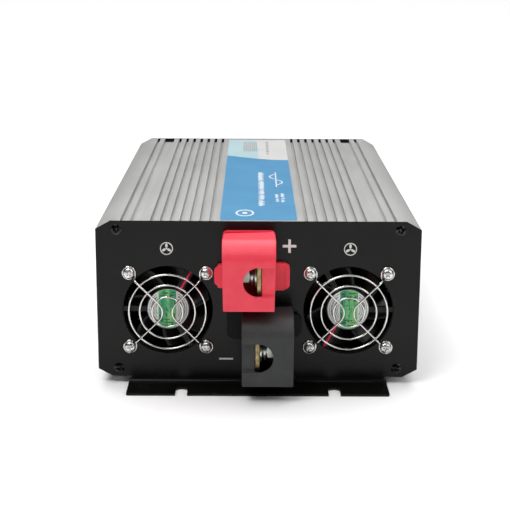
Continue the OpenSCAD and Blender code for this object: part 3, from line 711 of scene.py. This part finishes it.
def make_impeller(side):
    """Hub cup and curved blades."""
    rotor = Shape()
    front, back = SEAT_Y + 3.6, FAN_REAR - 1
    inner = HUB_R - 1.7
    rotor.join(lathe([(inner, front + 0.2), (inner + 0.4, front), (HUB_R - 0.3, front),
                      (HUB_R, front + 0.3), (HUB_R, back - 1.8), (HUB_R - 0.5, back - 0.6),
                      (HUB_R - 1.8, back), (0, back), (0, back - 1.6), (inner - 0.6, back - 1.6),
                      (inner, back - 2.2), (inner, front + 0.2)], 64))
    across, along = 10, 12
    w = along + 1
    off = (across + 1) * w
    faces = []
    for i in range(across):
        for j in range(along):
            q = (i * w + j, (i + 1) * w + j, (i + 1) * w + j + 1, i * w + j + 1)
            faces.append(q)
            faces.append(tuple(off + k for k in reversed(q)))
    rim = (list(range(0, off - along, w)) + list(range(off - along, off))
           + list(range(off - w - 1, along - 1, -w)) + list(range(along - 1, 0, -1)))
    for k, p in enumerate(rim):
        q = rim[(k + 1) % len(rim)]
        faces.append((q, p, off + p, off + q))
    for b in range(BLADES):
        skins = [blade_skin(b, face, front + 0.6, back - 0.6, across, along) for face in (-1, 1)]
        rotor.add(skins[0] + skins[1], faces)
    add_piece(side + "_impeller_blades", rotor, "fan_plastic", [side + "_fan_impeller"],
              fan_place(side), side + "_impeller")


def cross_cuts(size, depth, face_y, width=0.1):
    """The two tapered arms of the cross that is cut into a screw's face."""
    w, l = size * width, size / 2
    low, high = face_y - 0.5, face_y + depth
    arm = Shape([(-l, low, -w), (l, low, -w), (l, low, w), (-l, low, w),
                 (-l * 0.45, high, -w * 0.7), (l * 0.45, high, -w * 0.7),
                 (l * 0.45, high, w * 0.7), (-l * 0.45, high, w * 0.7)],
                [(0, 1, 2, 3), (7, 6, 5, 4), (0, 4, 5, 1), (1, 5, 6, 2), (2, 6, 7, 3),
                 (3, 7, 4, 0)])
    return [Shape().join(arm, turned(a)) for a in (45, 135)]


def thread(r, pitch, start, end, depth=0.55):
    """Profile of a threaded shank about Y, as closed ridges."""
    profile = []
    y = start
    while y + pitch <= end:
        profile += [(r - depth, y), (r, y + pitch * 0.42), (r, y + pitch * 0.55)]
        y += pitch
    profile.append((r - depth, end))
    return profile


def make_fan_screws():
    """Pan-head screws through the guards' eyelets and the fans."""
    seat = -2 * WIRE
    top = seat - 2.5
    dome = [(0, top)]
    for a in range(10, 80, 10):
        dome.append((3.45 * math.sin(math.radians(a)), top + 1.5 * (1 - math.cos(math.radians(a)))))
    dome += [(3.7, seat - 0.9), (3.75, seat - 0.5), (3.6, seat), (1.95, seat)]
    screw = lathe(dome + thread(1.95, 0.7, 2, 30.5, 0.3) + [(1.2, 30.7), (0, 30.7)], 40)
    screw = carve(screw, *cross_cuts(4.6, 1.5, top))
    screws = Shape()
    for i, (side, x, z) in enumerate((s, x, z) for s in ("left", "right")
                                     for x in (-1, 1) for z in (-1, 1)):
        put = fan_place(side) @ Matrix.Translation((x * FAN_SCREW, 0, z * FAN_SCREW))
        screws.join(screw, put @ turned(37 * i + 12))
    add_piece("guard_screws", screws, "screw_steel", ["fan_screws"],
              bevel=(0.12, 2, 40))


def make_corner_screws(node, face, outward):
    """Black countersunk screws with a slightly domed, cross-cut head at a plate's corners."""
    low, high = box_mm(node)
    head_r, tip, top = 3.5, high.y - low.y, -0.85
    dome = [(0, top), (0.9, -0.8), (1.8, -0.64), (2.6, -0.4), (3.2, -0.1), (head_r, 0.08)]
    screw = lathe(dome + [(1.45, 2.1)] + thread(1.45, 0.5, 2.2, tip - 1.2, 0.25)
                  + [(0.8, tip - 0.8), (0, tip - 0.8)], 40)
    screw = carve(screw, *cross_cuts(5, 2.2, top, 0.13))
    screws = Shape()
    facing = turned(180 if outward > 0 else 0, "Z")
    for i, (x, z) in enumerate((x, z) for x in (low.x + head_r, high.x - head_r)
                               for z in (low.z + head_r, high.z - head_r)):
        screws.join(screw, Matrix.Translation((x, face, z)) @ facing @ turned(22 + 31 * i))
    add_piece(node + "_heads", screws, "black_screw", [node], bevel=(0.1, 2, 40))


def make_hub_sticker(side):
    """Round pale sticker with a green band over its middle and arcs of grey dashes."""
    y, r, place = SEAT_Y - 0.2, STICKER_R, fan_place(side)
    disc = lathe([(0, y), (r - 0.1, y), (r, y + 0.1), (r, y + 0.2), (0, y + 0.2)], 72)
    add_piece(side + "_hub_sticker", disc, "fan_sticker", [side + "_fan_label"], place)
    r -= 0.1
    right, left = (math.degrees(math.acos(x / r)) for x in (BAND_HIGH, BAND_LOW))
    band = slab(arc(0, 0, r, right, left, 10) + arc(0, 0, r, -left, -right, 10),
                y - 0.12, y + 0.05)
    add_piece(side + "_hub_band", band, "hub_band", place=place,
              bevel=(0.05, 1, 40))
    tracks = Shape()
    for x, z, w, h in ((-3.2, 10.5, 2.4, 1.2), (2.4, 10.9, 4.4, 0.8), (-0.6, 9.2, 6.8, 0.6),
                       (4.4, 7.2, 1.3, 3.0), (-4.0, 5.6, 0.9, 5.2), (0.8, 7.2, 3.8, 0.5),
                       (0.4, -7.6, 5.6, 0.6), (3.6, -9.0, 3.2, 0.6), (-2.4, -9.2, 2.6, 1.3),
                       (1.9, -10.8, 4.2, 0.7), (-3.4, -11.1, 1.8, 0.8), (-4.2, -4.6, 0.8, 4.2)):
        tracks.join(slab(round_rect(w, h, 0.2, 2, x, z), y - 0.2, y - 0.1))
    dashes = Shape()
    for ring, width, gap in ((12.2, 0.35, 1.0), (10.8, 1.0, 1.6), (9.3, 0.5, 1.4), (8.0, 0.7, 2.0),
                             (6.9, 0.35, 1.2)):
        a, step = 0, 0
        while a < 356:
            length = (5.5, 3, 7.5, 4, 2.5)[step % 5]
            xs = [ring * math.cos(math.radians(a + t * length)) for t in (0, 0.5, 1)]
            if max(xs) < BAND_LOW - 0.6 or min(xs) > BAND_HIGH + 0.6:
                outline = (arc(0, 0, ring + width / 2, a, a + length, 3)
                           + arc(0, 0, ring - width / 2, a + length, a, 3))
                dashes.join(slab(outline, y - 0.05, y + 0.05))
            a += length + gap
            step += 1
    for shape, suffix, tone in ((tracks, "tracks", "hub_track"), (dashes, "dashes", "grey_print")):
        add_piece("%s_hub_%s" % (side, suffix), shape, tone, place=place,
                  smooth=False)


def make_leads(side):
    """Two leads that lie in the channel of the broad strut and leave through the wall."""
    for k, radius, aside, tone in ((-1, 0.84, 0.6, "red_wire"), (1, 0.58, 0.86, "black_wire")):
        path = []
        for i in range(21):
            t = i / 20
            path.append((14.2 + 18.8 * t, SEAT_Y + radius + 0.12 + 0.04 * math.sin(9 * t + k),
                         k * (aside + 0.02 * math.sin(7 * t))))
        add_piece("%s_%s" % (side, tone), tube(path, radius), tone,
                  [side + "_fan_leads"] if k < 0 else (), fan_place(side) @ turned(LEAD_ANGLE))


# ---------------- terminals

COVER_W, COVER_H, COVER_REACH = 34, 43.4, 38
COVER_X = 6
COVER_Z = [sum(corner.z for corner in box_mm(p + "_terminal_cover")) / 2
           for p in ("positive", "negative")]
COVER_BACK = -4.3
COVER_ROUND = 13.2
WINDOW_X, WINDOW_Z, WINDOW_R, WINDOW_FLAT = 5.7, -3.0, 9.3, 8.1
WINDOW_LOW, WINDOW_HIGH = WINDOW_Z - WINDOW_R, WINDOW_Z + WINDOW_R
WALL = 2.0
BAR_X, BAR_T = 5.2, 2.5
STUD_Y, STUD_L = -20, 15.5
NUT_T = 6.5


def terminal_place(pole):
    """Matrix of the positive (0) or negative (1) terminal; the negative one is mirrored."""
    flip = Matrix.Scale(-1, 4, (1, 0, 0)) if pole else Matrix.Identity(4)
    return Matrix.Translation((COVER_X if pole else -COVER_X, FRONT, COVER_Z[pole])) @ flip


def on_stud(pole, x, quarter, spin=0):
    """Matrix of a part that is turned about the stud, which lies along X."""
    return (terminal_place(pole) @ (Matrix.Translation((BAR_X + x, STUD_Y, WINDOW_Z))
                                    @ turned(quarter, "Z") @ turned(spin)))


def cover_skin(inset, back, lean=0.0, slim=0.0, taper=0.0):
    """Closed body of a cover: a big round on top, drawn in towards the plate.

    slim narrows the whole skin a little, taper narrows its foot and lean skews its top.
    """
    big = COVER_ROUND - inset
    front = -COVER_REACH + inset
    half, high_z, low_z = COVER_W / 2 - inset, COVER_H / 2 - inset, -COVER_H / 2 + inset
    stations = [(front + big * (1 - math.cos(math.radians(a))),
                 high_z - big * (1 - math.sin(math.radians(a)))) for a in range(0, 91, 9)]
    stations += [(y, high_z) for y in (-22, -18, -14, -10, -7) if y < back]
    stations.append((back, high_z))
    verts = []
    for y, top in stations:
        near = min(max((y + 24) / 20, 0), 1)
        drawn_in = 0 if inset else 0.95 * near ** 1.3
        outline = round_rect(2 * half, top - low_z, 0.7, 4, 0, (top + low_z) / 2)
        for x, z in outline:
            high = (z - low_z) / COVER_H
            narrow = 1 - (slim * (1 - near) + max(taper * (1 - high), drawn_in)) / half
            verts.append((x * narrow, y,
                          z + lean * near * high * x / 17 - abs(lean) * near * high))
    return loft(verts, len(outline))


def make_cover(pole, name, hue):
    """Soft moulded cover: shell, round cable window with one flat side and its side recess."""
    front = -COVER_REACH
    outer = cover_skin(0, COVER_BACK, -0.55 if pole else 0.55, 0.5 if pole else 0.1,
                       0.3 if pole else 0.9)
    inner = cover_skin(WALL, COVER_BACK + 3)
    flat = WINDOW_FLAT + 0.02
    window = slab([(flat, WINDOW_LOW), (flat, WINDOW_HIGH)]
                  + arc(WINDOW_X, WINDOW_Z, WINDOW_R, 76, 284, 28), front - 1, front + 6)
    recess = slab(rect(WINDOW_FLAT, COVER_W, WINDOW_LOW, WINDOW_HIGH), front - 1, front + 3.2)
    flap = slab(rect(WINDOW_FLAT, COVER_W / 2 - 1, WINDOW_LOW - 1.5, WINDOW_HIGH + 1.5),
                front + 1.2, front + 5)
    shell = carve(carve(outer, inner), window, recess, joined=[flap])
    add_piece(hue + "_boot", soften(shell, 0.28, 3), hue + "_cover",
              [name + "_terminal_cover"], terminal_place(pole), name + "_cover")


def make_stud(pole, name):
    """Threaded stud with a flat head."""
    profile = ([(0, -STUD_L), (2.9, -STUD_L), (3.4, -STUD_L + 0.6)]
               + thread(4, 1.25, -STUD_L + 0.6, -0.6, 0.6)
               + [(4, 0), (4, BAR_T), (6.2, BAR_T), (6.4, BAR_T + 0.3), (6.4, BAR_T + 1.6),
                  (6.0, BAR_T + 2), (0, BAR_T + 2)])
    add_piece(name + "_threaded_stud", lathe(profile), "plated_steel",
              [name + "_terminal_stud"], on_stud(pole, 0, -90))


def make_nut(pole, name):
    """Hexagon nut with its corners turned off on both faces."""
    half, t = 6.5, NUT_T
    corner = half / math.cos(math.radians(30))
    prism = slab([ring_point(corner, 60 * k) for k in range(6)], 0, t)
    bore = lathe([(0, -1), (4.05, -1), (4.05, t + 1), (0, t + 1)], 40)
    lens = lathe([(0, 0), (half - 0.1, 0), (corner + 0.1, 0.9), (corner + 0.1, t - 0.9),
                  (half - 0.1, t), (0, t)], 64)
    nut = carve(carve(prism, within=[lens]), bore)
    add_piece(name + "_stud_nut", nut, "plated_steel", [name + "_terminal_nut"],
              on_stud(pole, -4.6 - NUT_T, -90, 22), bevel=(0.15, 2, 30))


def make_base(pole, name, hue):
    """Moulded seat of a cover: stepped ears with a thin outer flange and a low rib."""
    up = (-8.2, 8.2)[pole]
    ears = [slab(round_rect(8, 18.2, 1, 4, 19.3, up), -4, 0),
            slab(round_rect(9, 17, 3, 8, 21.8, up), -3.1, 0),
            slab(round_rect(1.2, 12.5, 0.55, 4, 24.3, up), -3.8, -2),
            slab(round_rect(6, 15.5, 1.6, 6, -17.5, up), -4, 0),
            slab(round_rect(6, 12.5, 2.9, 8, -19.5, up), -3.1, 0),
            slab(round_rect(COVER_W - 2 * WALL - 0.6, COVER_H - 2 * WALL - 0.6, 1.5), -8, -3),
            slab(round_rect(24, 34, 1), -1, 12)]
    slot = slab(rect(BAR_X - 0.05, BAR_X + BAR_T + 0.05, WINDOW_Z - 11.05, WINDOW_Z + 11.05),
                -20, 40)
    base = carve(slab(round_rect(COVER_W, COVER_H, 3), -4, 0), slot, joined=ears)
    add_piece(name + "_moulded_base", base, hue + "_base", [name + "_terminal_base"],
              terminal_place(pole), bevel=(0.45, 3, 40))


def make_washers(pole, name):
    """Plain washer against the bar and a split spring washer beside it."""
    plain = lathe([(4.15, 0), (7.8, 0), (8, 0.2), (8, 1.4), (7.8, 1.6), (4.15, 1.6), (4.15, 0)], 56)
    steps, verts = 44, []
    section = ((4.2, 0), (6.7, 0.15), (6.8, 0.4), (6.7, 1.6), (4.2, 1.7))
    for i in range(steps + 1):
        rise = 0.75 * i / steps
        for r, y in section:
            x, z = ring_point(r, 8 + 344 * i / steps)
            verts.append((x, 1.85 + rise + y, z))
    add_piece(name + "_stud_washers", plain.join(loft(verts, len(section))), "plated_steel",
              [name + "_terminal_washers"], on_stud(pole, -0.1, 90, 70), bevel=(0.1, 2, 40))


# ---------------- inside and rear

def make_capacitors(node, r, spots):
    """Sleeved cans with a crimp near the foot, a pale stripe and a scored bare top."""
    low, high = box_mm(node)
    h = high.z - low.z
    sleeve = lathe([(0, 0), (r - 1, 0), (r - 0.4, 0.6), (r - 0.2, 2.4), (r - 0.9, 3.1),
                    (r - 0.9, 3.7), (r - 0.1, 4.6), (r - 0.05, h - 1.4), (r - 0.4, h - 0.5),
                    (r - 1.1, h - 0.2), (r - 1.5, h - 0.4), (r - 1.5, h - 0.8), (0, h - 0.8)])
    top = lathe([(0, h - 0.9), (r - 1.6, h - 0.9), (r - 1.7, h - 0.5), (r - 2.2, h - 0.35),
                 (0, h - 0.35)])
    score = block((-0.2, h - 0.6, -r * 0.55), (0.2, h, r * 0.55))
    top = carve(top, *[Shape().join(score, turned(a)) for a in (45, 135)])
    stripe = slab(arc(0, 0, r + 0.02, 250, 290, 8) + arc(0, 0, r - 0.3, 290, 250, 8), 6, h - 2.5)
    for part, suffix, tone in ((sleeve, "sleeves", "capacitor_sleeve"), (top, "tops", "can_top"),
                               (stripe, "stripes", "label_pale")):
        group = Shape()
        for x, y in spots:
            group.join(part, Matrix.Translation((x, y, low.z)) @ turned(90, "X"))
        add_piece("%s_%s" % (node, suffix), group, tone,
                  [node] if suffix == "sleeves" else ())


def make_transistors():
    """Moulded bodies with a bright tab and three legs, in a row along each wall."""
    low, high = box_mm("power_transistors")
    first, pitch, count = low.y + 5, 20, 10
    bodies, metal = Shape(), Shape()
    for sign, wall in ((-1, low.x), (1, high.x)):
        for i in range(count):
            y = first + pitch * i
            bodies.join(block((wall - sign * 4.5, y - 5, high.z - 19.5),
                              (wall - sign * 0.3, y + 5, high.z - 4.5)))
            metal.join(block((wall, y - 5, high.z - 5), (wall - sign * 1.25, y + 5, high.z)))
            middle = wall - sign * 2.85
            for k in (-2.54, 0, 2.54):
                for half, z0, z1 in ((0.45, low.z, high.z - 19), (0.75, high.z - 22, high.z - 19)):
                    metal.join(block((middle - 0.35, y + k - half, z0),
                                     (middle + 0.35, y + k + half, z1)))
    add_piece("transistor_bodies", bodies, "transistor_resin", ["power_transistors"],
              bevel=(0.3, 2, 40))
    add_piece("transistor_tabs", metal, "plated_steel", bevel=(0.1, 1, 40))


def make_inductor():
    """Enamelled wire wound round the ring core in two halves."""
    low, high = box_mm("inductor_winding")
    centre = (low + high) / 2
    outer, half_h = (high.x - low.x) / 2, (high.z - low.z) / 2
    wire, turns = 1.05, 16
    r_in, r_out, rise = 11.5 + wire, outer - wire, half_h - wire
    section = round_rect(r_out - r_in, 2 * rise, 1.6, 2, (r_in + r_out) / 2, 0)
    steps = turns * len(section)
    made = Shape()
    for start in (12.5, 192.5):
        path = []
        for i in range(steps):
            r, z = section[i % len(section)]
            path.append(centre + Vector((*ring_point(r, start + 155 * i / steps), z)))
        made.join(tube(path, wire, 10))
    add_piece("inductor_turns", made, "copper_coil", ["inductor_winding"])


def make_switch_marks():
    """A bar and a ring on the two faces of the rocker."""
    low, high = box_mm("power_switch_rocker")
    pivot = Matrix.Translation(((low.x + high.x) / 2, REAR + 2.5, (low.z + high.z) / 2))
    ring = slab(arc(0, 0, 1.5, 0, 360, 28) + arc(0, 0, 1.05, 360, 0, 28), -0.06, 0.04)
    bar = slab(round_rect(0.6, 3, 0.2, 3), -0.06, 0.04)
    marks = Shape()
    for shape, side in ((bar, 1), (ring, -1)):
        put = Matrix.Translation((0, 1.55, 4.5 * side)) @ turned(31 * side, "X")
        marks.join(shape, pivot @ turned(-9, "X") @ put)
    add_piece("rocker_marks", marks, "white_print", body="switch_rocker")


# ---------------- top label

LABEL_LOW, LABEL_HIGH = box_mm("top_label")
LABEL_HALF, LABEL_L = 25, LABEL_HIGH.y - LABEL_LOW.y
FIELD_HALF = LABEL_HALF - 0.02
# Bottom and top of each printed layer above the case
FILM, BLUE, CYAN, GREY, WHITE = (0, 0.12), (0.1, 0.18), (0.1, 0.16), (0.1, 0.17), (0.15, 0.22)


def sheet_xy(outline, layer):
    """Prism of an X-Y outline, measured from the label's front edge, in a layer."""
    n = len(outline)
    y = LABEL_LOW.y
    return Shape([(x, y + v, TOP + z) for z in layer for x, v in outline],
                 [tuple(range(n))[::-1], tuple(range(n, 2 * n))]
                 + [(i, (i + 1) % n, (i + 1) % n + n, i + n) for i in range(n)])


def stroke(cx, cy, w, l, r, steps, layer):
    return sheet_xy([(x + cx, v + cy) for x, v in round_rect(w, l, r, steps)], layer)


def printed(name, shape, tone, replaced=()):
    add_piece(name, shape, tone, replaced, smooth=False)


def label_edge(x):
    """Distance of the blue field's rear edge from the label's front, at a place across it."""
    u = (x + LABEL_HALF) / (2 * LABEL_HALF)
    return 246 - 26 * math.sin(math.pi / 2 * u) + 5 * u


def make_label():
    """Pale film with a blue and a cyan field, and plain strokes in place of lettering."""
    printed("label_film", stroke(0, LABEL_L / 2, 2 * LABEL_HALF, LABEL_L, 2, 6, FILM),
            "label_pale", ["top_label"])
    steps = 24
    across = [-FIELD_HALF + 2 * FIELD_HALF * i / steps for i in range(steps + 1)]
    front_edge = sorted((p for p in round_rect(2 * FIELD_HALF, 60, 2, 6, 0, 30.02) if p[1] < 30),
                        key=lambda p: p[0])
    printed("label_blue_field",
            sheet_xy(front_edge + [(x, label_edge(x)) for x in reversed(across)], BLUE),
            "label_blue")
    printed("label_cyan_field",
            sheet_xy([(x, label_edge(x) + 0.4) for x in across if x <= 2]
                     + [(2 - 3 * t, 246 + (LABEL_L - 248) * t) for t in (0.3, 0.6, 1.0)]
                     + [(-FIELD_HALF, LABEL_L - 2)], CYAN), "label_cyan")
    marks = Shape()

    def bar(cx, cy, w, l):
        marks.join(stroke(cx, cy, w, l, min(w, l) * 0.3, 3, WHITE))

    # Title line and two short lines: strokes of uneven length, grouped like words
    for cx, w, start, words in ((2.3, 4.4, 46, (7, 6, 6, 12, 13)),
                                (17.2, 2.8, 58, (3, 2, 5)), (13.2, 2.4, 60, (4, 5))):
        v = start
        for count in words:
            for k in range(count):
                reach = w * (1, 0.72, 0.86, 0.66)[(k * 3 + count) % 4]
                bar(cx - (w - reach) / 2 * (-1) ** k, v, reach, 1.95)
                v += 2.6
            v += 2.4
    # Sine wave over its axis
    wave_x, wave_v, swing, wave_l = 13.5, 118, 4.6, 44
    wave = [(wave_x + swing * math.sin(2 * math.pi * t / steps), wave_v + wave_l * t / steps)
            for t in range(steps + 1)]
    for (xa, va), (xb, vb) in zip(wave, wave[1:]):
        aside = Vector((vb - va, xa - xb)).normalized() * 0.55
        marks.join(sheet_xy([(xa - aside.x, va - aside.y), (xb - aside.x, vb - aside.y),
                             (xb + aside.x, vb + aside.y), (xa + aside.x, va + aside.y)], WHITE))
    bar(wave_x, wave_v + wave_l / 2, 0.9, 58)
    # Ring and dot near the front, drawn long because the label is seen at a slant
    badge_x, badge_v, badge_r, stretch = -9, 22, 6.2, 1.6
    ring, inner = ([(badge_x + r * math.cos(math.radians(a)),
                     badge_v + stretch * r * math.sin(math.radians(a)))
                    for a in range(0, 360, 10)] for r in (badge_r, badge_r - 1.3))
    for k in range(36):
        q = (k + 1) % 36
        marks.join(sheet_xy([ring[k], ring[q], inner[q], inner[k]], WHITE))
    bar(badge_x, badge_v, 3.2, 5.4)
    printed("label_white_marks", marks, "label_white")
    grey = Shape()
    for i in range(7):
        grey.join(stroke(1.75 * i - 11.4, 291, 1.1 + 0.3 * (i % 2), 50, 0.2, 2, GREY))
    for v, piece in ((252, 6), (262, 12), (278, 8), (290, 14), (308, 9)):
        grey.join(stroke(8.5, v + piece / 2, 2.4, piece, 0.5, 2, GREY))
    printed("label_grey_marks", grey, "label_grey")


# ---------------- the whole scene

make_camera()
make_sky()
area_light("key", (-0.6, -0.9, 1.5), (0.9, 0.7), 16)
area_light("fill", (1.0, -1.0, 0.9), (0.8, 0.8), 6)
area_light("top", (0.0, 0.5, 1.5), (2.4, 1.8), 40)
make_floor()
make_materials()
for tone, dressed in {
        "case_aluminium": "upper_case_shell lower_case_shell",
        "black_sheet": "front_end_plate rear_end_plate",
        "white_print": "front_panel_marks",
        "plated_steel": "fan_nuts terminal_base_screws board_screws transistor_clamps clamp_screws",
        "brass_bar": "positive_terminal_bar negative_terminal_bar board_standoffs outlet_contacts "
                     "earth_screw",
        "circuit_board": "main_circuit_board control_board",
        "ferrite": "transformer_cores",
        "winding_tape": "transformer_windings",
        "powder_core": "inductor_core",
        "outlet_plastic": "mains_outlets",
        "switch_plastic": "power_switch_body power_switch_rocker",
        "lamp_lens": "indicator_lights",
}.items():
    for node_name in dressed.split():
        dress(node_name, tone, 0.2)
for side in ("left", "right"):
    for part, tone in (("frame", "fan_plastic"), ("stator", "copper_coil"),
                       ("bearing", "bronze"), ("shaft", "shaft_steel")):
        dress("%s_fan_%s" % (side, part), tone, 0.15)
    make_guard(side)
    make_impeller(side)
    make_hub_sticker(side)
    make_leads(side)
make_fan_screws()
make_corner_screws("front_plate_screws", FRONT, -1)
make_corner_screws("rear_plate_screws", REAR, 1)
poles = ((0, "positive", "red"), (1, "negative", "black"))
for pole, name, hue in poles:
    make_cover(pole, name, hue)
for pole, name, hue in poles:
    make_stud(pole, name)
    make_nut(pole, name)
    make_washers(pole, name)
    make_base(pole, name, hue)
make_capacitors("input_capacitors", 8, [(18 * k + (3 if k > 0 else -3), FRONT + 66 + 19 * row)
                                        for k in (-3, -2, -1, 1, 2, 3) for row in (0, 1)])
make_capacitors("output_capacitors", 15, [(x, FRONT + 188) for x in (-51, -17, 17, 51)])
make_transistors()
make_inductor()
make_switch_marks()
make_label()
